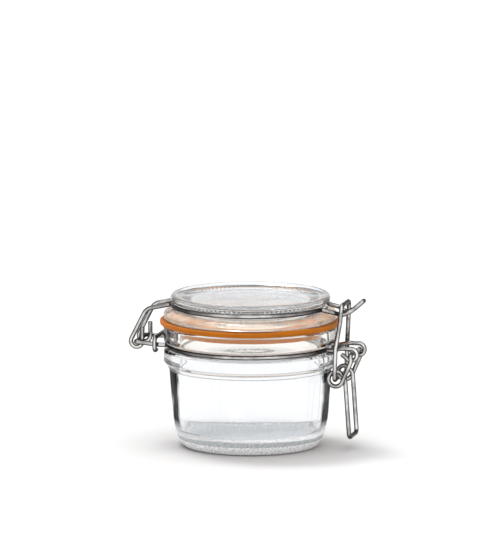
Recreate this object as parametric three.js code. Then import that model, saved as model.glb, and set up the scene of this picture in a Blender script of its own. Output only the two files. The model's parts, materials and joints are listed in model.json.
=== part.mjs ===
// A small glass storage jar with a wire bail clamp, in millimetres.
// The origin is on the jar's axis at the bottom of its foot, +Z is up and +X points to the locking lever.
import * as THREE from "three";

// Sizes of the whole
const WIRE_RADIUS = 1;
const WIRE_SIDES = 8;
const BEND_FACET = 30; // degrees that a bend turns from one facet to the next
const RING_FACET = 7.5; // the same on the large rings
const GLASS_SEGMENTS = 48;
const FIT_GAP = 0.3; // left between pieces that touch

// Jar
const FOOT_INNER_RADIUS = 26;
const FOOT_OUTER_RADIUS = 29;
const WALL_RADIUS = 35.8; // under the shoulder; the wall draws in a little towards the foot
const RIM_RADIUS = 38.4;
const RIM_TOP = 53.95;
const MOUTH_RADIUS = 31.4;
const NECK_RADIUS = 35.2; // bottom of the groove that holds the neck wire
const NECK_WIRE_Z = 44.9;
const NECK_WIRE_RADIUS = NECK_RADIUS + WIRE_RADIUS + FIT_GAP;

// Seal
const SEAL_RADIUS = 40;
const SEAL_INNER_RADIUS = 31.6;
const SEAL_BOTTOM = RIM_TOP + FIT_GAP;
const SEAL_TOP = SEAL_BOTTOM + 2.1;

// Lid
const LID_BOTTOM = SEAL_TOP + FIT_GAP;
const LID_FLANGE_RADIUS = 38.4;
const LID_NECK_RADIUS = 33.2; // bottom of the groove that holds the lid wire
const LID_WIRE_Z = 62.95;
const LID_WIRE_RADIUS = LID_NECK_RADIUS + WIRE_RADIUS + FIT_GAP;
const LID_DISC_RADIUS = 35.4;
const LID_TOP = 67.6;

// Hinge at the back: the lid wire's hooks turn on the neck wire's crossbar
const HINGE = { x: -49.9, z: 45.8 };
const HINGE_HOOK_RADIUS = 2.6;
const HINGE_HOOK_Y = 7.6;
const HINGE_ARM_Y = 10;

// Clamp at the front: the lever turns at PIVOT in the neck wire's eyes and carries the link at its own eyes.
// From the middle outwards: neck eyes and handle, then the lever's arms, then the link's legs.
const PIVOT = { x: 47.3, z: 43.3 };
const NECK_EYE_RADIUS = 2.6;
const NECK_EYE_Y = 7.7;
const LEVER_EYE = { x: 40.7, z: 32.4 };
const LEVER_EYE_RADIUS = 3.15;
const LEVER_ARM_Y = 9.9;
const LEVER_HANDLE_Y = 7.7;
const LINK_LEG_Y = 12.1;

const steel = (shade) =>
  new THREE.MeshStandardMaterial({ color: shade, metalness: 0.95, roughness: 0.25 });
const glass = (shade) =>
  new THREE.MeshStandardMaterial({
    color: shade,
    metalness: 0,
    roughness: 0.05,
    transparent: true,
    opacity: 0.4,
  });
const rubber = new THREE.MeshStandardMaterial({ color: 0xd8741a, metalness: 0, roughness: 0.55 });

const radians = THREE.MathUtils.degToRad;
const degrees = THREE.MathUtils.radToDeg;

// A solid of revolution about Z. The profile is [radius, height] pairs, anticlockwise seen with +Z up.
function turned(name, profile, material) {
  const points = profile.map(([radius, z]) => new THREE.Vector2(radius, z));
  const geometry = new THREE.LatheGeometry(points, GLASS_SEGMENTS);
  geometry.rotateX(Math.PI / 2);
  const mesh = new THREE.Mesh(geometry, material);
  mesh.name = name;
  return mesh;
}

// A circular bend about an axis along Y, as centre-line points. 0 degrees is +X and 90 degrees is +Z.
function uprightArc({ x, z }, y, radius, from, to, yEnd = y) {
  const count = Math.ceil(Math.abs(to - from) / BEND_FACET);
  return Array.from({ length: count + 1 }, (_, i) => {
    const share = i / count;
    const angle = radians(from + (to - from) * share);
    return [x + radius * Math.cos(angle), y + (yEnd - y) * share, z + radius * Math.sin(angle)];
  });
}

// A stretch of a level ring about the jar's axis, as centre-line points.
function levelArc(radius, z, from, to) {
  const count = Math.ceil(Math.abs(to - from) / RING_FACET);
  return Array.from({ length: count + 1 }, (_, i) => {
    const angle = radians(from + ((to - from) * i) / count);
    return [radius * Math.cos(angle), radius * Math.sin(angle), z];
  });
}

// Rounds each corner [x, y, z, bend radius] into a circular bend. Points with no radius stay as they are.
function bent(corners) {
  const at = (i) => new THREE.Vector3(...corners[i].slice(0, 3));
  return corners.flatMap(([, , , radius], i) => {
    const here = at(i);
    if (!radius) return [here];
    const back = at(i - 1).sub(here).normalize();
    const on = at(i + 1).sub(here).normalize();
    const half = back.angleTo(on) / 2;
    const centre = back.clone().add(on).normalize().multiplyScalar(radius / Math.sin(half)).add(here);
    const spoke = back.clone().multiplyScalar(radius / Math.tan(half)).add(here).sub(centre);
    const axis = on.clone().cross(back).normalize();
    const sweep = Math.PI - 2 * half;
    const count = Math.ceil(degrees(sweep) / BEND_FACET);
    return Array.from({ length: count + 1 }, (_, k) =>
      spoke.clone().applyAxisAngle(axis, (sweep * k) / count).add(centre),
    );
  });
}

// A centre line with one facet between each two points: straight runs stay plain and bends get the facets.
class CentreLine extends THREE.Curve {
  constructor(points) {
    super();
    this.points = points;
    this.steps = points.length - 1;
  }

  getPoint(t) {
    const i = Math.min(Math.floor(t * this.steps + 1e-9), this.steps - 1);
    return this.points[i].clone().lerp(this.points[i + 1], t * this.steps - i);
  }

  getTangent(t) {
    const i = Math.round(t * this.steps);
    const run = (k) =>
      new THREE.Vector3().subVectors(this.points[k + 1], this.points[k]).normalize();
    return run(Math.max(i - 1, 0)).add(run(Math.min(i, this.steps - 1))).normalize();
  }

  getUtoTmapping(u) {
    return u;
  }
}

// A round wire with square cut ends, along a list of corners.
function wire(name, corners, material) {
  const path = new CentreLine(bent(corners));
  const section = new THREE.Shape();
  section.absarc(0, 0, WIRE_RADIUS, 0, 2 * Math.PI);
  const geometry = new THREE.ExtrudeGeometry(section, {
    extrudePath: path,
    steps: path.steps,
    curveSegments: WIRE_SIDES / 2,
  });
  const mesh = new THREE.Mesh(geometry, material);
  mesh.name = name;
  return mesh;
}

// The far half of a wire that is the same on both sides of the XZ plane.
const mirrored = (corners) => corners.map(([x, y, z, radius]) => [x, -y, z, radius]).reverse();

// Angle on a level ring, in degrees, where it is y away from the XZ plane.
const ringAngle = (radius, y) => degrees(Math.asin(y / radius));

function jarBody() {
  return turned(
    "jar_body",
    [
      [0, 1.4],
      [24, 1.1],
      [FOOT_INNER_RADIUS, 0],
      [FOOT_OUTER_RADIUS, 0],
      [31.6, 2.6],
      [33.6, 7],
      [34.4, 12],
      [WALL_RADIUS, 33.5],
      [36.3, 35.8],
      [37.7, 36.8],
      [RIM_RADIUS, 38.2],
      [RIM_RADIUS, 42.4],
      [37.6, 43.5],
      [NECK_RADIUS, 43.6],
      [NECK_RADIUS, 46.2],
      [37.7, 46.2],
      [RIM_RADIUS, 46.9],
      [RIM_RADIUS, 53.3],
      [37.7, RIM_TOP],
      [MOUTH_RADIUS + 0.6, RIM_TOP],
      [MOUTH_RADIUS, 53.4],
      [31, 14],
      [29.8, 8],
      [26.4, 4.8],
      [20, 4],
      [0, 3.8],
    ],
    glass(0xdfe6e4),
  );
}

function glassLid() {
  return turned(
    "glass_lid",
    [
      [0, 60.2],
      [24.6, 60.2],
      [25.9, 59],
      [26.2, 54.6],
      [27.2, 53.6],
      [28.8, 53.6],
      [29.6, 54.6],
      [29.9, LID_BOTTOM],
      [37.8, LID_BOTTOM],
      [LID_FLANGE_RADIUS, 57.2],
      [LID_FLANGE_RADIUS, 59.3],
      [37.7, 60],
      [34.2, 61.5],
      [LID_NECK_RADIUS, 61.6],
      [LID_NECK_RADIUS, 64.3],
      [34.5, 64.4],
      [LID_DISC_RADIUS, 65.4],
      [LID_DISC_RADIUS, 66.3],
      [34.7, 67.4],
      [33.9, LID_TOP],
      [32.8, LID_TOP],
      [32, 67.1],
      [26.2, 65.3],
      [0, 65.2],
    ],
    glass(0xe6ebea),
  );
}

function sealRing() {
  return turned(
    "seal_ring",
    [
      [SEAL_INNER_RADIUS, SEAL_BOTTOM],
      [SEAL_RADIUS, SEAL_BOTTOM],
      [SEAL_RADIUS, SEAL_TOP],
      [SEAL_INNER_RADIUS, SEAL_TOP],
      [SEAL_INNER_RADIUS, SEAL_BOTTOM],
    ],
    rubber,
  );
}

// One wire: hinge hook, back arm, half the ring, nose, the other half of the ring, back arm, hinge hook.
function lidWire() {
  const frontY = 8;
  const backAngle = 180 + ringAngle(LID_WIRE_RADIUS, HINGE_HOOK_Y);
  const frontAngle = 360 - ringAngle(LID_WIRE_RADIUS, frontY);
  const near = [
    [HINGE.x + HINGE_HOOK_RADIUS, -HINGE_HOOK_Y, 52.2],
    ...uprightArc(HINGE, -HINGE_HOOK_Y, HINGE_HOOK_RADIUS, 0, -207),
    [-45.5, -HINGE_HOOK_Y, 60.4, 5],
    [-34.2, -HINGE_HOOK_Y, LID_WIRE_Z - 0.1, 1.4],
    ...levelArc(LID_WIRE_RADIUS, LID_WIRE_Z, backAngle + 4, frontAngle - 4),
    [33.9, -frontY, LID_WIRE_Z - 0.1, 1.4],
    [38.6, -7.8, 61.9, 3],
    [42.6, -4.3, 60.2, 3],
    [46.4, -3, 62.1, 3],
    [51.2, -1.5, 66.2, 1.3],
  ];
  return wire("lid_wire", [...near, ...mirrored(near)], steel(0xb9b9bd));
}

// Near side of the front: the closed eye at the end of the neck wire, and its run into the groove.
function neckWireFront() {
  const grooveY = 8.2;
  return [
    [42.8, -NECK_EYE_Y, 43.4],
    ...uprightArc(PIVOT, -NECK_EYE_Y, NECK_EYE_RADIUS, -132, 90),
    [42.6, -NECK_EYE_Y, PIVOT.z + NECK_EYE_RADIUS, 4],
    [38.8, -grooveY, NECK_WIRE_Z, 4],
    ...levelArc(NECK_WIRE_RADIUS, NECK_WIRE_Z, -ringAngle(NECK_WIRE_RADIUS, grooveY), -80),
  ];
}

// Near half: front eye, groove, back arm, hinge crossbar and far back arm, which hooks under the other.
function neckWireHingeHalf() {
  const armAngle = 180 + ringAngle(NECK_WIRE_RADIUS, HINGE_ARM_Y);
  return wire(
    "neck_wire_hinge_half",
    [
      ...neckWireFront(),
      ...levelArc(NECK_WIRE_RADIUS, NECK_WIRE_Z, 275, armAngle + 4),
      [-35.6, -HINGE_ARM_Y, NECK_WIRE_Z, 1.4],
      [-39, -HINGE_ARM_Y, NECK_WIRE_Z, 8],
      [HINGE.x, -HINGE_ARM_Y, HINGE.z, 1.4],
      [HINGE.x, HINGE_ARM_Y, HINGE.z, 1.4],
      [-44, HINGE_ARM_Y, 45.6, 8],
      [-38.3, HINGE_ARM_Y, 45.6, 1.5],
      [-38.3, HINGE_ARM_Y, 49.5],
    ],
    steel(0xa9a9ae),
  );
}

// Far half: front eye, groove, then across the back over both arms, down outside the near arm and under it.
function neckWireClipHalf() {
  const crossX = -40.6;
  const crossZ = 48.2;
  return wire(
    "neck_wire_clip_half",
    [
      ...neckWireFront().map(([x, y, z, radius]) => [x, -y, z, radius]),
      ...levelArc(NECK_WIRE_RADIUS, NECK_WIRE_Z, 85, 153),
      [-34.6, 14.6, NECK_WIRE_Z, 1.6],
      [-38.6, 14.6, NECK_WIRE_Z, 1.6],
      [crossX, 12.6, crossZ, 1.6],
      [crossX, -12.5, crossZ, 1.6],
      [crossX, -12.5, 42.6, 1.6],
      [crossX, -9.4, 42.6],
    ],
    steel(0xa9a9ae),
  );
}

// One wire: foot, leg, arch, leg, foot. The feet point inwards, through the lever's eyes.
function tensionLink() {
  const near = [
    [LEVER_EYE.x, -6.2, LEVER_EYE.z],
    [LEVER_EYE.x, -LINK_LEG_Y, LEVER_EYE.z, 1.3],
    [41.1, -LINK_LEG_Y, 46, 4],
    [42.4, -8.6, 57.5, 6],
    [42.9, -7.6, 64.9, 2.3],
  ];
  return wire("tension_link", [...near, ...mirrored(near)], steel(0xc4c4c8));
}

// One wire: pin, arm, eye, handle, eye, arm, pin. The pins point inwards, through the neck wire's eyes.
function lockingLever() {
  const near = [
    [PIVOT.x, -5.6, PIVOT.z],
    [PIVOT.x, -LEVER_ARM_Y, PIVOT.z, 1.2],
    [47.7, -LEVER_ARM_Y, 40.4, 4],
    ...uprightArc(LEVER_EYE, -LEVER_ARM_Y, LEVER_EYE_RADIUS, -24, -180),
    ...uprightArc(LEVER_EYE, -LEVER_ARM_Y, LEVER_EYE_RADIUS, -200, -300, -LEVER_HANDLE_Y),
    [44.5, -LEVER_HANDLE_Y, 32.6, 2.5],
    [45, -LEVER_HANDLE_Y, 26, 8],
    [46.4, -7.6, 6.2, 2.2],
  ];
  return wire("locking_lever", [...near, ...mirrored(near)], steel(0xc4c4c8));
}

const jar = new THREE.Group();
jar.add(
  jarBody(),
  glassLid(),
  sealRing(),
  lidWire(),
  neckWireHingeHalf(),
  neckWireClipHalf(),
  tensionLink(),
  lockingLever(),
);

export default jar;
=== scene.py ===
"""Looks of the bail clamp jar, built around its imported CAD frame. Sizes are in mm until a mesh is made."""

import json
import math

import bpy
from mathutils import Matrix, Vector

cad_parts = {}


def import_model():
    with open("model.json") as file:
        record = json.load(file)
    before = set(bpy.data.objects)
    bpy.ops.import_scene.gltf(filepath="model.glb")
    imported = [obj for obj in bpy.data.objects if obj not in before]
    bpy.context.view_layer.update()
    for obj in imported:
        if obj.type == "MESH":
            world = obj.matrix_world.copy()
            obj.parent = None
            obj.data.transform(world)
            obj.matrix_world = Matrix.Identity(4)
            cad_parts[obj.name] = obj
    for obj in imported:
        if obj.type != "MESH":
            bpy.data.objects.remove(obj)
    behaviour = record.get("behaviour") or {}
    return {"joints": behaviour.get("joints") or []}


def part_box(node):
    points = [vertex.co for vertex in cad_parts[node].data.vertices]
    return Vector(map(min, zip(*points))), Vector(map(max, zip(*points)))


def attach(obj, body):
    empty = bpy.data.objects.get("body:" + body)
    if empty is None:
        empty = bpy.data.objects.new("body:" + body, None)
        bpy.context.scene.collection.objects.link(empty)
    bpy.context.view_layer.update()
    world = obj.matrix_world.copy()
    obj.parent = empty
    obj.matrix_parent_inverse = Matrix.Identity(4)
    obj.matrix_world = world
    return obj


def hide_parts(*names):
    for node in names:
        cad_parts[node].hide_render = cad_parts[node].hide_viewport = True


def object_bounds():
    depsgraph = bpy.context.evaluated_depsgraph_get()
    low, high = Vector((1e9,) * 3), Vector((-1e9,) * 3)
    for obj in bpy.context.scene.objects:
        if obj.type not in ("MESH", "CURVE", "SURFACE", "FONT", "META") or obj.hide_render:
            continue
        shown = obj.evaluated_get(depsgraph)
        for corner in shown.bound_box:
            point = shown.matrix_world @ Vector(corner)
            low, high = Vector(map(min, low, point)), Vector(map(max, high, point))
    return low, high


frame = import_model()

cad_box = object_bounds()

MM = 0.001
WIRE_RADIUS = 1.0
WIRE_SIDES = 20
WIRE_END_BEVEL = 0.22
BEND_STEP = 6  # degrees that a bend turns from one ring of vertices to the next
RING_STEP = 2  # the same on the large rings
PROFILE_STEP = 15  # the same on the corners of a turned profile
GLASS_STEPS = 400  # round the jar and the lid
SEAL_STEPS = 360


def box_mm(node):
    return [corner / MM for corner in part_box(node)]


def joint_mm(name):
    joint = next(j for j in frame["joints"] if j["name"] == name)
    return Vector(joint["pos_m"]) / MM


HINGE = joint_mm("lid_hinge")
PIVOT = joint_mm("lever_pivot")
LEVER_EYE = joint_mm("link_pivot")
LID_WIRE_Z = joint_mm("lid_turn").z

jar_high = box_mm("jar_body")[1]
lid_high = box_mm("glass_lid")[1]
seal_low, seal_high = box_mm("seal_ring")
RIM_TOP = jar_high.z
RIM_RADIUS = jar_high.x
LID_TOP = lid_high.z
LID_SEAT = seal_high.z + 0.35
LID_FLANGE_RADIUS = lid_high.x
FLANGE_MIDDLE = 59.3  # height of the middle of the lid's flange
SEAL_RADIUS = seal_high.x
NECK_WIRE_Z = 44.9
NECK_WIRE_RADIUS = 36.5
LID_WIRE_RADIUS = 34.5


# ---------------------------------------------------------------- meshes

def new_object(name, vertices, faces):
    mesh = bpy.data.meshes.new(name)
    mesh.from_pydata([Vector(v) * MM for v in vertices], [], faces)
    mesh.validate()
    mesh.polygons.foreach_set("use_smooth", [True] * len(mesh.polygons))
    mesh.update()
    made = bpy.data.objects.new(name, mesh)
    bpy.context.scene.collection.objects.link(made)
    return made


def rounded(corners, step, closed):
    """Rounds each corner (x, y, z, bend radius) into an arc. Points with no radius stay as they are."""
    points = []
    for i, corner in enumerate(corners):
        here = Vector(corner[:3])
        radius = corner[3] if len(corner) > 3 else 0
        inner = closed or 0 < i < len(corners) - 1
        if not radius or not inner:
            points.append(here)
            continue
        back = Vector(corners[i - 1][:3]) - here
        on = Vector(corners[(i + 1) % len(corners)][:3]) - here
        half = back.angle(on) / 2
        reach = radius / math.tan(half)
        room = 0.49 * min(back.length, on.length)
        if reach > room and closed:
            radius *= room / reach
            reach = room
        back.normalize()
        on.normalize()
        centre = here + (back + on).normalized() * (radius / math.sin(half))
        spoke = here + back * reach - centre
        axis = on.cross(back).normalized()
        sweep = math.pi - 2 * half
        count = max(2, math.ceil(math.degrees(sweep) / step))
        for k in range(count + 1):
            points.append(centre + Matrix.Rotation(sweep * k / count, 3, axis) @ spoke)
    return points


def spaced(points, longest, closed):
    """The same line with points added wherever two are further apart than longest."""
    out = []
    last = len(points) if closed else len(points) - 1
    for i in range(last):
        a, b = points[i], points[(i + 1) % len(points)]
        count = max(1, math.ceil((b - a).length / longest))
        out += [a.lerp(b, k / count) for k in range(count)]
    return out if closed else [*out, points[-1]]


def lathe(name, profile, steps, longest=1.2, shift=None):
    """A solid of revolution about Z. Its profile of (radius, height, corner radius) is closed, or starts and
    ends on the axis. shift(angle, radius, z) gives how far a vertex moves outward and upward."""
    on_axis = profile[0][0] == 0 and profile[-1][0] == 0
    corners = [(p[0], 0, p[1], p[2] if len(p) > 2 else 0) for p in profile]
    line = spaced(rounded(corners, PROFILE_STEP, not on_axis), longest, not on_axis)
    vertices, faces, rings = [], [], []
    for point in line:
        if point.x < 1e-6:
            rings.append([len(vertices)] * steps)
            vertices.append((0, 0, point.z))
            continue
        rings.append(range(len(vertices), len(vertices) + steps))
        for k in range(steps):
            angle = 2 * math.pi * k / steps
            out, up = shift(angle, point.x, point.z) if shift else (0, 0)
            radius = point.x + out
            vertices.append((radius * math.cos(angle), radius * math.sin(angle), point.z + up))
    pairs = list(zip(rings, rings[1:] if on_axis else [*rings[1:], rings[0]]))
    for low, high in pairs:
        for k in range(steps):
            n = (k + 1) % steps
            face = [low[k], low[n], high[n], high[k]]
            faces.append([v for j, v in enumerate(face) if v != face[j - 1]])
    return new_object(name, vertices, faces)


def directions(points):
    """The direction of a line at each of its points, halfway between the stretches before and after it."""
    stretches = [(b - a).normalized() for a, b in zip(points, points[1:])]
    inner = [(a + b).normalized() for a, b in zip(stretches, stretches[1:])]
    return [stretches[0], *inner, stretches[-1]]


def wire(name, corners):
    """A round wire along a list of corners, with cut ends whose edges are slightly broken."""
    points = rounded(corners, BEND_STEP, False)
    points = [p for i, p in enumerate(points) if i == 0 or (p - points[i - 1]).length > 1e-3]
    tangents = directions(points)
    side = tangents[0].orthogonal().normalized()
    rings = []
    for i, (point, tangent) in enumerate(zip(points, tangents)):
        if i:
            side = tangents[i - 1].rotation_difference(tangent) @ side
            side = (side - tangent * side.dot(tangent)).normalized()
        rings.append((point, side, tangent.cross(side), WIRE_RADIUS))
    first, last = rings[0], rings[-1]
    inner = WIRE_RADIUS - WIRE_END_BEVEL
    rings[0] = (first[0] + tangents[0] * WIRE_END_BEVEL, *first[1:])
    rings[-1] = (last[0] - tangents[-1] * WIRE_END_BEVEL, *last[1:])
    rings = [(*first[:3], inner), *rings, (*last[:3], inner)]
    vertices, faces = [], []
    for point, side, other, radius in rings:
        for k in range(WIRE_SIDES):
            angle = 2 * math.pi * k / WIRE_SIDES
            vertices.append(point + (side * math.cos(angle) + other * math.sin(angle)) * radius)
    for i in range(len(rings) - 1):
        for k in range(WIRE_SIDES):
            n = (k + 1) % WIRE_SIDES
            low, high = i * WIRE_SIDES, (i + 1) * WIRE_SIDES
            faces.append((low + k, low + n, high + n, high + k))
    faces.append(tuple(reversed(range(WIRE_SIDES))))
    faces.append(tuple(range(len(vertices) - WIRE_SIDES, len(vertices))))
    made = new_object(name, vertices, faces)
    for cap in list(made.data.polygons)[-2:]:
        cap.use_smooth = False
    made.data.set_sharp_from_angle(angle=math.radians(35))
    return made


def upright_arc(centre, y, radius, start, end, y_end=None):
    """A bend about an axis along Y, from y to y_end. 0 degrees is +X and 90 degrees is +Z."""
    count = math.ceil(abs(end - start) / BEND_STEP)
    y_end = y if y_end is None else y_end
    points = []
    for i in range(count + 1):
        angle = math.radians(start + (end - start) * i / count)
        x = centre.x + radius * math.cos(angle)
        z = centre.z + radius * math.sin(angle)
        points.append((x, y + (y_end - y) * i / count, z))
    return points


def level_arc(radius, z, start, end):
    """A stretch of a ring about Z, in degrees from +X."""
    count = math.ceil(abs(end - start) / RING_STEP)
    angles = [math.radians(start + (end - start) * i / count) for i in range(count + 1)]
    return [(radius * math.cos(a), radius * math.sin(a), z) for a in angles]


def mirrored(corners):
    """The far half of a wire that is the same on both sides of the XZ plane."""
    return [(c[0], -c[1], *c[2:]) for c in reversed(corners)]


def ring_angle(radius, y):
    """Where a ring about Z comes to y from the XZ plane, in degrees."""
    return math.degrees(math.asin(y / radius))


# ---------------------------------------------------------------- pieces

# Profiles: (radius, height, corner radius).
JAR_PROFILE = [
    (0, 1.4),
    (22, 1.3, 3),
    (25.6, 0.15, 1.2),
    (27.4, 0.0, 1.0),
    (29.4, 0.3, 1.4),
    (31.4, 2.7, 3),
    (33.2, 7.0, 5),
    (34.35, 13, 8),
    (35.75, 33.0, 3),
    (35.85, 34.7, 0.5),
    (36.4, 35.0, 0.3),
    (36.5, 36.3, 0.4),
    (37.6, 36.8, 0.6),
    (RIM_RADIUS, 38.0, 1.0),
    (RIM_RADIUS, 42.6, 0.9),
    (37.4, 43.6, 0.4),
    (35.2, 43.6, 0.6),
    (35.2, 46.2, 0.6),
    (37.5, 46.2, 0.5),
    (RIM_RADIUS, 47.0, 0.7),
    (RIM_RADIUS, 53.2, 0.7),
    (37.6, RIM_TOP, 0.5),
    (32.2, RIM_TOP, 0.6),
    (31.4, 53.2, 0.8),
    (31.0, 14, 8),
    (29.8, 8, 4),
    (26.4, 4.9, 3),
    (20, 4.1, 6),
    (0, 3.8),
]

LID_PROFILE = [
    (0, 60.2),
    (24.6, 60.2, 1),
    (25.9, 58.8, 1),
    (26.2, 54.8, 1),
    (27.2, 53.6, 0.7),
    (28.8, 53.6, 0.7),
    (29.6, 54.6, 0.6),
    (29.9, LID_SEAT + 0.3, 0.3),
    (37.7, LID_SEAT, 0.5),
    (LID_FLANGE_RADIUS, 57.4, 0.6),
    (LID_FLANGE_RADIUS, 59.2, 0.8),
    (37.6, 60.1, 1.2),
    (34.3, 61.5, 1.0),
    (33.2, 61.8, 0.4),
    (33.2, 64.3, 0.5),
    (34.5, 64.4, 0.5),
    (35.4, 65.3, 0.5),
    (35.4, 66.3, 0.6),
    (34.7, LID_TOP, 0.8),
    (33.0, LID_TOP, 0.7),
    (31.8, 66.9, 1.0),
    (26.2, 65.3, 2),
    (0, 65.2),
]

RIDGES = (32.6, 34.1, 35.6, 37.1)  # the seal touches the glass along these rings only
RIDGE_HALF_WIDTH = 0.35
TONGUE_RADIUS = 31.3  # outside of the lip that hangs inside the mouth of the jar


def seal_profile():
    """Both faces are drawn flat on the glass; shape_seal() lowers them between the ridges."""
    low, high = RIM_TOP - 0.02, LID_SEAT + 0.02
    return [
        (30.9, low, 0.2),
        (30.7, low - 3.4, 0.25),
        (TONGUE_RADIUS - 0.15, low - 3.4, 0.15),
        (TONGUE_RADIUS, low - 0.6, 0.3),
        (32.3, low, 0.3),
        (37.9, low, 0.2),
        (38.5, seal_low.z, 0.4),
        (SEAL_RADIUS, seal_low.z, 0.7),
        (SEAL_RADIUS, seal_high.z, 0.6),
        (38.5, seal_high.z, 0.4),
        (37.9, high, 0.2),
        (31.9, high + 0.23, 0.2),
    ]


def smooth_step(low, high, value):
    share = min(1, max(0, (value - low) / (high - low)))
    return share * share * (3 - 2 * share)


def wall_waves(angle, radius, z):
    """The slight unevenness of pressed glass, mostly on the inside, and the knurled ring under the heel."""
    upright = smooth_step(8, 16, z) * (1 - smooth_step(48, 53, z))
    wave = 0
    if radius < 31.2 and z > 9:
        wave = 0.10 * math.sin(3 * angle + 0.6 + z / 30) + 0.05 * math.sin(7 * angle + z / 14)
    elif radius > 33.9 and z < 34.5:
        wave = 0.03 * math.sin(5 * angle + 2 + z / 19)
    knurl = 0
    if radius < 33 and z < 4:
        band = smooth_step(27.4, 28.6, radius) * (1 - smooth_step(2.0, 3.4, z))
        knurl = 0.22 * band * max(0, math.sin(96 * angle)) ** 0.8
    return (wave * upright + knurl, 0)


def recess_ribs(angle, radius, z):
    """Fine radial ribs pressed into the recess of the lid's top, and slight waves in its underside."""
    recess_low, ceiling_high = 64.9, 60.5
    if z < recess_low:
        wave = 0.05 * math.sin(4 * angle + 1) if z < ceiling_high and radius < 25 else 0
        return (0, wave * min(1, radius / 12))
    band = smooth_step(26.6, 27.6, radius) * (1 - smooth_step(29.6, 30.6, radius))
    return (0, 0.2 * band * math.sin(90 * angle))


def shape_seal(angle, radius, z):
    """The free lip rides up a little near the clamp, and the faces leave the glass between the ridges and at
    the back, where the clamp presses least."""
    degrees = (math.degrees(angle) + 180) % 360 - 180
    lifted = smooth_step(-66, -55, degrees) * (1 - smooth_step(-42, -22, degrees))
    up = smooth_step(37.9, 38.9, radius) * (0.75 * lifted + 0.10 * math.sin(2 * angle + 0.4))
    if 32 < radius < 37.95:
        ridge = min(abs(radius - r) for r in RIDGES)
        front = 1 - smooth_step(75, 95, abs(degrees + 77))
        clear = 1 - front * (1 - smooth_step(RIDGE_HALF_WIDTH, RIDGE_HALF_WIDTH + 0.2, ridge))
        on_top = z > (RIM_TOP + LID_SEAT) / 2
        up += -0.3 * clear if on_top else 0.2 * clear * (1 - front)
    back = 1 - smooth_step(40, 80, abs(degrees - 103))
    return (-0.9 * back * smooth_step(38, 39, radius), up)


jar_glass = lathe("jar_glass_body", JAR_PROFILE, GLASS_STEPS, shift=wall_waves)
lid_glass = lathe("lid_glass_body", LID_PROFILE, GLASS_STEPS, shift=recess_ribs)
seal = lathe("seal_rubber_ring", seal_profile(), SEAL_STEPS, longest=0.3, shift=shape_seal)


# Routes: (x, y, z, bend radius). Each starts at a cut end.

def lid_wire_route():
    """Hinge hook, arm, the lid's groove, and the catch nose at the front."""
    hook_y, front_y, hook_radius = 7.6, 8, 2.6
    back_angle = 180 + ring_angle(LID_WIRE_RADIUS, hook_y)
    front_angle = 360 - ring_angle(LID_WIRE_RADIUS, front_y)
    near = [
        (HINGE.x + hook_radius, -hook_y, 52.2),
        *upright_arc(HINGE, -hook_y, hook_radius, 0, -207),
        (-45.5, -hook_y, 60.4, 5),
        (-34.2, -hook_y, LID_WIRE_Z - 0.1, 1.4),
        *level_arc(LID_WIRE_RADIUS, LID_WIRE_Z, back_angle + 4, front_angle - 4),
        (33.9, -front_y, LID_WIRE_Z - 0.1, 1.4),
        (38.6, -7.8, 61.9, 3),
        (42.6, -4.3, 60.2, 3),
        (46.4, -3, 62.1, 3),
        (51.12, -1.5, 66.2, 1.3),
    ]
    return [*near, *mirrored(near)]


def neck_front_route():
    """The closed eye at the front end of the neck wire and its run into the groove, near side."""
    eye_y, eye_radius, groove_y = 7.7, 2.6, 8.2
    return [
        (42.8, -eye_y, 43.4),
        *upright_arc(PIVOT, -eye_y, eye_radius, -132, 90),
        (42.6, -eye_y, PIVOT.z + eye_radius, 4),
        (38.8, -groove_y, NECK_WIRE_Z, 4),
        *level_arc(NECK_WIRE_RADIUS, NECK_WIRE_Z, -ring_angle(NECK_WIRE_RADIUS, groove_y), -80),
    ]


def neck_hinge_route():
    """Front eye, near side of the groove, and the hinge's crossbar with its upturned end."""
    arm_y = 10
    arm_angle = 180 + ring_angle(NECK_WIRE_RADIUS, arm_y)
    return [
        *neck_front_route(),
        *level_arc(NECK_WIRE_RADIUS, NECK_WIRE_Z, 278, arm_angle + 4),
        (-35.6, -arm_y, NECK_WIRE_Z, 1.4),
        (-39, -arm_y, NECK_WIRE_Z, 8),
        (HINGE.x, -arm_y, HINGE.z, 1.4),
        (HINGE.x, arm_y, HINGE.z, 1.4),
        (-44, arm_y, 45.6, 8),
        (-38.3, arm_y, 45.6, 1.5),
        (-38.3, arm_y, 49.5),
    ]


def neck_clip_route():
    """Front eye, far side of the groove, and the end that crosses over and clips under the hinge's arm."""
    cross_x, cross_z = -40.6, 48.2
    return [
        *[(c[0], -c[1], *c[2:]) for c in neck_front_route()],
        *level_arc(NECK_WIRE_RADIUS, NECK_WIRE_Z, 82, 153),
        (-34.6, 14.6, NECK_WIRE_Z, 1.6),
        (-38.6, 14.6, NECK_WIRE_Z, 1.6),
        (cross_x, 12.6, cross_z, 1.6),
        (cross_x, -12.5, cross_z, 1.6),
        (cross_x, -12.5, 42.6, 1.6),
        (cross_x, -9.4, 42.6),
    ]


def link_route():
    """Pin in the lever's eye, leg, and the arch over the nose."""
    leg_y = 12.1
    near = [
        (LEVER_EYE.x, -6.2, LEVER_EYE.z),
        (LEVER_EYE.x, -leg_y, LEVER_EYE.z, 1.3),
        (41.1, -leg_y, 46, 4),
        (42.4, -8.6, 57.5, 6),
        (42.9, -7.6, 64.9, 2.3),
    ]
    return [*near, *mirrored(near)]


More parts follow.
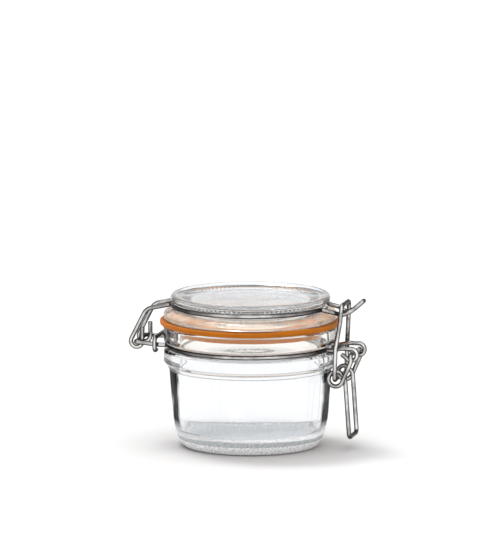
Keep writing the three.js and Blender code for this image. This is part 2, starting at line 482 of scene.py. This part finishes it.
def lever_route():
    """Pin in the neck wire's eye, arm, the eye for the link, and the handle."""
    arm_y, handle_y, eye_radius = 9.9, 7.7, 3.15
    near = [
        (PIVOT.x, -5.6, PIVOT.z),
        (PIVOT.x, -arm_y, PIVOT.z, 1.2),
        (47.7, -arm_y, 40.4, 4),
        *upright_arc(LEVER_EYE, -arm_y, eye_radius, -24, -180),
        *upright_arc(LEVER_EYE, -arm_y, eye_radius, -200, -300, -handle_y),
        (44.5, -handle_y, 32.6, 2.5),
        (45, -handle_y, 26, 8),
        (46.4, -7.6, 6.2, 2.2),
    ]
    return [*near, *mirrored(near)]


# name of the piece: (route, CAD node, body)
WIRES = {
    "lid_wire_steel": (lid_wire_route, "lid_wire", "lid_bail"),
    "neck_wire_hinge_steel": (neck_hinge_route, "neck_wire_hinge_half", "jar"),
    "neck_wire_clip_steel": (neck_clip_route, "neck_wire_clip_half", "jar"),
    "tension_link_steel": (link_route, "tension_link", "link"),
    "locking_lever_steel": (lever_route, "locking_lever", "lever"),
}
wires = {name: wire(name, route()) for name, (route, _, _) in WIRES.items()}


# ---------------------------------------------------------------- materials

def material(name):
    made = bpy.data.materials.new(name)
    made.use_nodes = True
    tree = made.node_tree
    tree.nodes.clear()
    return made, tree


def node(tree, kind, inputs=None, **settings):
    made = tree.nodes.new(kind)
    for key, value in settings.items():
        setattr(made, key, value)
    for key, value in (inputs or {}).items():
        socket = made.inputs[key]
        if isinstance(value, bpy.types.NodeSocket):
            tree.links.new(value, socket)
        else:
            socket.default_value = value
    return made


def noise(tree, scale, detail, stretch=(1, 1, 1)):
    """Noise over the object's own space. scale is in features per metre."""
    place = node(tree, "ShaderNodeTexCoord").outputs["Object"]
    place = node(tree, "ShaderNodeMapping", {"Vector": place, "Scale": stretch}).outputs["Vector"]
    inputs = {"Vector": place, "Scale": scale, "Detail": detail}
    return node(tree, "ShaderNodeTexNoise", inputs).outputs["Fac"]


def ramp(tree, factor, stops):
    made = node(tree, "ShaderNodeValToRGB", {"Fac": factor})
    elements = made.color_ramp.elements
    elements[0].position, elements[0].color = stops[0][0], stops[0][1]
    elements[1].position, elements[1].color = stops[-1][0], stops[-1][1]
    for position, colour in stops[1:-1]:
        elements.new(position).color = colour
    return made.outputs["Color"]


def grey(level):
    return (level, level, level, 1)


def maths(tree, operation, first, second=0.0, third=0.0):
    return node(tree, "ShaderNodeMath", {0: first, 1: second, 2: third}, operation=operation).outputs["Value"]


def product(tree, first, *others):
    for other in others:
        first = maths(tree, "MULTIPLY", first, other)
    return first


def vector_maths(tree, operation, first, second=(0, 0, 0)):
    return node(tree, "ShaderNodeVectorMath", {0: first, 1: second}, operation=operation)


def rescaled(tree, value, start, end, low=0.0, high=1.0, **settings):
    """value mapped from start...end to low...high, and held there outside it."""
    inputs = {"Value": value, "From Min": start, "From Max": end, "To Min": low, "To Max": high}
    return node(tree, "ShaderNodeMapRange", inputs, **settings).outputs["Result"]


def mixed_colour(tree, share, first, second, blend_type="MIX"):
    inputs = {0: share, 6: first, 7: second}
    return node(tree, "ShaderNodeMix", inputs, data_type="RGBA", blend_type=blend_type).outputs[2]


def mixed_shader(tree, share, first, second):
    return node(tree, "ShaderNodeMixShader", {0: share, 1: first, 2: second}).outputs["Shader"]


def matt(tree, colour):
    return node(tree, "ShaderNodeBsdfDiffuse", {"Color": colour}).outputs["BSDF"]


def object_place(tree):
    """The place on the object, its distance from the object's Z axis and its height, in metres."""
    place = node(tree, "ShaderNodeTexCoord").outputs["Object"]
    level_place = vector_maths(tree, "MULTIPLY", place, (1, 1, 0)).outputs["Vector"]
    radius = vector_maths(tree, "LENGTH", level_place).outputs["Value"]
    height = node(tree, "ShaderNodeSeparateXYZ", {0: place}).outputs["Z"]
    return place, radius, height


def painted_outline_reflection(tree, place, edge):
    """A painted dark line near both side outlines of a turned object, a painted reflection of a dark room, as
    a share from 0 to edge. It comes from the angle between the view and the direction round the object, so it
    isn't there from above."""
    around = vector_maths(tree, "CROSS_PRODUCT", (0, 0, 1), place).outputs["Vector"]
    around = vector_maths(tree, "NORMALIZE", around).outputs["Vector"]
    around = node(
        tree,
        "ShaderNodeVectorTransform",
        {"Vector": around},
        vector_type="VECTOR",
        convert_from="OBJECT",
        convert_to="WORLD",
    ).outputs["Vector"]
    across = node(tree, "ShaderNodeLayerWeight", {"Blend": 0.5, "Normal": around}).outputs["Facing"]
    wander = rescaled(tree, noise(tree, 130, 2, (1, 1, 0.6)), 0, 1, -0.05, 0.05)
    across = maths(tree, "ADD", across, wander)
    return ramp(tree, across, [(0.0193, grey(0)), (0.036, grey(edge)), (0.089, grey(edge)), (0.122, grey(0))])


def clear_glass(tree, height, flat, level):
    """Clear glass with slow waves, and a painted warm tint round the neck and the lid's flange: painted light
    for the orange rubber seen in the glass. Its level faces are stippled, and the two sealing faces are dull."""
    pale, painted_rubber_tint = (0.955, 0.965, 0.98, 1), (0.985, 0.95, 0.90, 1)
    share_of_height = maths(tree, "DIVIDE", height, LID_TOP * MM)
    # Painted light: the warm stops near the rubber stand for its orange colour seen in the glass.
    stops = [(0.60, pale), (0.68, painted_rubber_tint), (0.90, (0.985, 0.945, 0.885, 1)), (0.95, pale)]
    upright_colour = ramp(tree, share_of_height, stops)
    waves = node(tree, "ShaderNodeBump", {"Height": noise(tree, 55, 2), "Strength": 0.07, "Distance": 0.0012})
    stipple = node(
        tree,
        "ShaderNodeBump",
        {
            "Height": noise(tree, 900, 3),
            "Strength": rescaled(tree, flat, 0, 1, 0.04, 0.10),
            "Distance": 0.0002,
            "Normal": waves.outputs["Normal"],
        },
    )
    sealing = maths(tree, "COMPARE", height, (RIM_TOP + LID_SEAT) / 2 * MM, 2 * MM)
    return node(
        tree,
        "ShaderNodeBsdfPrincipled",
        {
            "Base Color": mixed_colour(tree, flat, upright_colour, level),
            "Roughness": rescaled(tree, product(tree, sealing, flat), 0, 1, 0.015, 0.22),
            "IOR": 1.52,
            "Transmission Weight": 1.0,
            "Normal": stipple.outputs["Normal"],
        },
    ).outputs["BSDF"]


def glass_material(name, outer_radius, edge, fade, frost, level, density):
    """Clear pressed glass.

    outer_radius: beyond it a face belongs to the outer skin
    edge, fade: strength of the painted dark line (a painted reflection) near the outline, and (height,
    height, share, share) it fades over
    frost: (clear height, matt height, share, radius) of the stippled matt level faces and heel, inside that
    radius; the white on the foot is partly painted light
    level: colour of level faces
    density: how strongly the glass colours what is seen through it
    """
    made, tree = material(name)
    place, radius, height = object_place(tree)
    normal = node(tree, "ShaderNodeTexCoord").outputs["Normal"]
    slope = maths(tree, "ABSOLUTE", node(tree, "ShaderNodeSeparateXYZ", {0: normal}).outputs["Z"])
    flat = rescaled(tree, slope, 0.55, 0.85, interpolation_type="SMOOTHSTEP")
    overhang = maths(tree, "SUBTRACT", radius, height)
    heel = maths(tree, "GREATER_THAN", overhang, 26 * MM)
    foot = maths(tree, "GREATER_THAN", overhang, 28 * MM)
    outside = maths(tree, "GREATER_THAN", radius, outer_radius * MM)
    entering = maths(tree, "SUBTRACT", 1.0, node(tree, "ShaderNodeNewGeometry").outputs["Backfacing"])
    surface = clear_glass(tree, height, flat, level)

    # Painted reflection: a near-black matt is mixed in near the outline, where real glass shows the dark
    # sides of a room.
    fade_start, fade_end, fade_low, fade_high = fade
    line = product(
        tree,
        painted_outline_reflection(tree, place, edge),
        rescaled(tree, slope, 0.25, 0.65, 1, 0),
        outside,
        rescaled(tree, height, fade_start * MM, fade_end * MM, fade_low, fade_high),
        rescaled(tree, height, 8 * MM, 13 * MM),
        rescaled(tree, noise(tree, 420, 2, (1, 1, 0.12)), 0.35, 0.62, 0.9, 1),
    )
    surface = mixed_shader(tree, line, surface, matt(tree, (0.008, 0.009, 0.011, 1)))

    # The stipple scatters light: a matt blue-grey on the level faces. The matt white on the foot is partly
    # its stipple and partly painted light, for the light gathered in the base.
    clear_height, matt_height, frost_share, frost_radius = frost
    frost_and_painted_light = product(
        tree,
        rescaled(tree, height, clear_height * MM, matt_height * MM, 0, frost_share),
        maths(tree, "MAXIMUM", flat, heel),
        maths(tree, "LESS_THAN", radius, frost_radius * MM),
        rescaled(tree, noise(tree, 1250, 1), 0.4, 0.6, 0.62, 1),
    )
    pale = mixed_colour(tree, foot, (0.56, 0.59, 0.61, 1), (0.99, 0.99, 1.0, 1))
    surface = mixed_shader(tree, frost_and_painted_light, surface, matt(tree, pale))

    # Painted light: patches of peach matt on the outer faces of the lid's flange stand for the orange rubber
    # below, seen through the glass.
    painted_rubber_glow = product(
        tree,
        rescaled(tree, noise(tree, 90, 2), 0.35, 0.65, 0.2, 0.5),
        maths(tree, "COMPARE", height, FLANGE_MIDDLE * MM, 2.2 * MM),
        entering,
        maths(tree, "GREATER_THAN", radius, 33.6 * MM),
    )
    surface = mixed_shader(tree, painted_rubber_glow, surface, matt(tree, (0.93, 0.69, 0.50, 1)))

    # For shadows and light from the studio the glass is a filter, densest where light enters the outer skin.
    skin = maths(tree, "MAXIMUM", outside, heel)
    entry = product(tree, skin, entering)
    let_through = mixed_colour(tree, entry, (0.97, 0.97, 0.97, 1), (0.05, 0.035, 0.03, 1))
    filtering = node(tree, "ShaderNodeBsdfTransparent", {"Color": let_through}).outputs["BSDF"]
    path = node(tree, "ShaderNodeLightPath").outputs
    lighting = maths(tree, "MAXIMUM", path["Is Shadow Ray"], path["Is Diffuse Ray"])
    surface = mixed_shader(tree, lighting, surface, filtering)
    volume = {"Color": (0.83, 0.85, 0.85, 1), "Density": density}
    absorb = node(tree, "ShaderNodeVolumeAbsorption", volume).outputs["Volume"]
    node(tree, "ShaderNodeOutputMaterial", {"Surface": surface, "Volume": absorb})
    return made


def steel_material():
    """Bright drawn wire with fine marks, cloudy patches and uneven gloss. Its colour is painted dark towards
    its
    outline by the viewing angle: a painted reflection of a dark room.
    """
    made, tree = material("bright_wire")
    marks = noise(tree, 2600, 2)
    # Painted reflection: the colour is lightest face-on and darkest towards the outline.
    facing = node(tree, "ShaderNodeLayerWeight", {"Blend": 0.5}).outputs["Facing"]
    stops = [
        (0.0, (0.86, 0.85, 0.84, 1)),
        (0.10, (0.60, 0.59, 0.58, 1)),
        (0.24, (0.19, 0.185, 0.18, 1)),
        (0.48, (0.07, 0.068, 0.065, 1)),
        (0.78, (0.11, 0.108, 0.105, 1)),
        (1.0, (0.26, 0.255, 0.25, 1)),
    ]
    patches = ramp(tree, noise(tree, 160, 3), [(0.36, (0.45, 0.45, 0.46, 1)), (0.60, (1.0, 0.99, 0.98, 1))])
    bump = node(tree, "ShaderNodeBump", {"Height": marks, "Strength": 0.10, "Distance": 0.00005})
    surface = node(
        tree,
        "ShaderNodeBsdfPrincipled",
        {
            "Base Color": mixed_colour(tree, 1.0, ramp(tree, facing, stops), patches, "MULTIPLY"),
            "Metallic": 1.0,
            "Roughness": rescaled(tree, marks, 0, 1, 0.09, 0.20),
            "Specular Tint": (0.5, 0.5, 0.5, 1),
            "Normal": bump.outputs["Normal"],
        },
    ).outputs["BSDF"]
    node(tree, "ShaderNodeOutputMaterial", {"Surface": surface})
    return made


def rubber_material():
    """Orange moulded rubber: a little translucent, with a dusty bloom and a fine grain. The thin lip inside
    the mouth is painted lighter: painted light for light shining through the thin rubber."""
    made, tree = material("orange_rubber")
    cloud = noise(tree, 120, 3)
    ring_colour = ramp(tree, cloud, [(0.3, (0.40, 0.112, 0.001, 1)), (0.7, (0.47, 0.140, 0.002, 1))])
    _, radius, _ = object_place(tree)
    # Painted light: the thin lip is painted lighter, for light shining through it.
    painted_glow_lip = maths(tree, "LESS_THAN", radius, (TONGUE_RADIUS + 0.3) * MM)
    grain = {"Height": noise(tree, 3000, 2), "Strength": 0.15, "Distance": 0.00006}
    surface = node(
        tree,
        "ShaderNodeBsdfPrincipled",
        {
            "Base Color": mixed_colour(tree, painted_glow_lip, ring_colour, (0.64, 0.25, 0.05, 1)),
            "Roughness": rescaled(tree, cloud, 0, 1, 0.42, 0.58),
            "Specular IOR Level": 0.15,
            "Subsurface Weight": 0.15,
            "Subsurface Radius": (1.0, 0.3, 0.05),
            "Subsurface Scale": 0.0015,
            "Normal": node(tree, "ShaderNodeBump", grain).outputs["Normal"],
        },
    ).outputs["BSDF"]
    node(tree, "ShaderNodeOutputMaterial", {"Surface": surface})
    return made


jar_material = glass_material(
    "jar_clear_glass",
    outer_radius=33,
    edge=1.0,
    fade=(34, 37, 1, 0.35),
    frost=(6.2, 5.4, 0.95, 60),
    level=(0.90, 0.915, 0.925, 1),
    density=30,
)
lid_material = glass_material(
    "lid_clear_glass",
    outer_radius=34,
    edge=0.75,
    fade=(60, 62, 0.5, 1),
    frost=(64.6, 65.0, 0.38, 26.4),
    level=(0.84, 0.90, 0.95, 1),
    density=10,
)
steel = steel_material()
rubber = rubber_material()


def dress(piece, finish, body, cad_node):
    piece.data.materials.append(finish)
    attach(piece, body)
    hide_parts(cad_node)


dress(jar_glass, jar_material, "jar", "jar_body")
dress(lid_glass, lid_material, "lid", "glass_lid")
dress(seal, rubber, "lid", "seal_ring")
for name, (_, cad_node, body) in WIRES.items():
    dress(wires[name], steel, body, cad_node)


# ---------------------------------------------------------------- studio

def floor():
    size = 4000
    corners = [(-size, -size, 0), (size, -size, 0), (size, size, 0), (-size, size, 0)]
    made = new_object("floor", corners, [(0, 1, 2, 3)])
    finish, tree = material("white_floor")
    paint = {"Base Color": (0.705, 0.70, 0.698, 1), "Roughness": 0.85, "Specular IOR Level": 0.1}
    surface = node(tree, "ShaderNodeBsdfPrincipled", paint).outputs["BSDF"]
    node(tree, "ShaderNodeOutputMaterial", {"Surface": surface})
    made.data.materials.append(finish)


def world():
    """White all round. Glass and steel also see a grey belt high up, which draws darker lines on them, and a
    bright ceiling above it."""
    made = bpy.data.worlds.new("studio")
    bpy.context.scene.world = made
    made.use_nodes = True
    tree = made.node_tree
    tree.nodes.clear()
    direction = node(tree, "ShaderNodeTexCoord").outputs["Generated"]
    height = node(tree, "ShaderNodeSeparateXYZ", {0: direction}).outputs["Z"]
    stops = [(0, 0.9), (0.50, 1.0), (0.62, 1.0), (0.70, 0.75), (0.84, 0.75), (0.90, 1.6), (1.0, 1.8)]
    sky = ramp(tree, rescaled(tree, height, -1, 1), [(share, grey(level)) for share, level in stops])
    around = node(tree, "ShaderNodeBackground", {"Color": sky, "Strength": 1.0}).outputs["Background"]
    plain = node(tree, "ShaderNodeBackground", {"Color": grey(1.0), "Strength": 1.0}).outputs["Background"]
    seen = node(tree, "ShaderNodeLightPath").outputs["Is Camera Ray"]
    node(tree, "ShaderNodeOutputWorld", {"Surface": mixed_shader(tree, seen, around, plain)})


def area_light(name, place, aim, size, power):
    """A round lamp at a place in metres, turned towards aim."""
    data = bpy.data.lights.new(name, "AREA")
    data.shape = "DISK"
    data.size = size
    data.energy = power
    made = bpy.data.objects.new(name, data)
    bpy.context.scene.collection.objects.link(made)
    made.location = place
    made.rotation_mode = "QUATERNION"
    made.rotation_quaternion = (Vector(aim) - Vector(place)).to_track_quat("-Z", "Y")
    return made


def camera(azimuth, elevation, distance, lens, aim_height, aim_aside):
    """A camera turned by azimuth from -Y towards +X and raised by elevation. The point it looks at is
    aim_height up and aim_aside to the left of the object's axis."""
    reach = math.cos(elevation)
    back = Vector((math.sin(azimuth) * reach, -math.cos(azimuth) * reach, math.sin(elevation)))
    across = Vector((math.cos(azimuth), math.sin(azimuth), 0))
    data = bpy.data.cameras.new("camera")
    data.lens = lens
    data.sensor_width = 36
    data.clip_start = 0.1
    made = bpy.data.objects.new("camera", data)
    bpy.context.scene.collection.objects.link(made)
    aim = Vector((0, 0, aim_height)) - across * aim_aside
    made.location = aim + back * distance
    made.rotation_mode = "QUATERNION"
    made.rotation_quaternion = (-back).to_track_quat("-Z", "Y")
    bpy.context.scene.camera = made


middle = (cad_box[0] + cad_box[1]) / 2
floor()
world()
area_light("key", middle + Vector((-1.5, 1.0, 4.2)), middle, 1.5, 95)
area_light("fill", middle + Vector((2.4, -3.3, 2.1)), middle, 2.4, 12)
camera(math.radians(13), math.radians(9.3), 6.0, 908.0, aim_height=0.0784, aim_aside=0.002)
bpy.context.scene.view_settings.view_transform = "Standard"
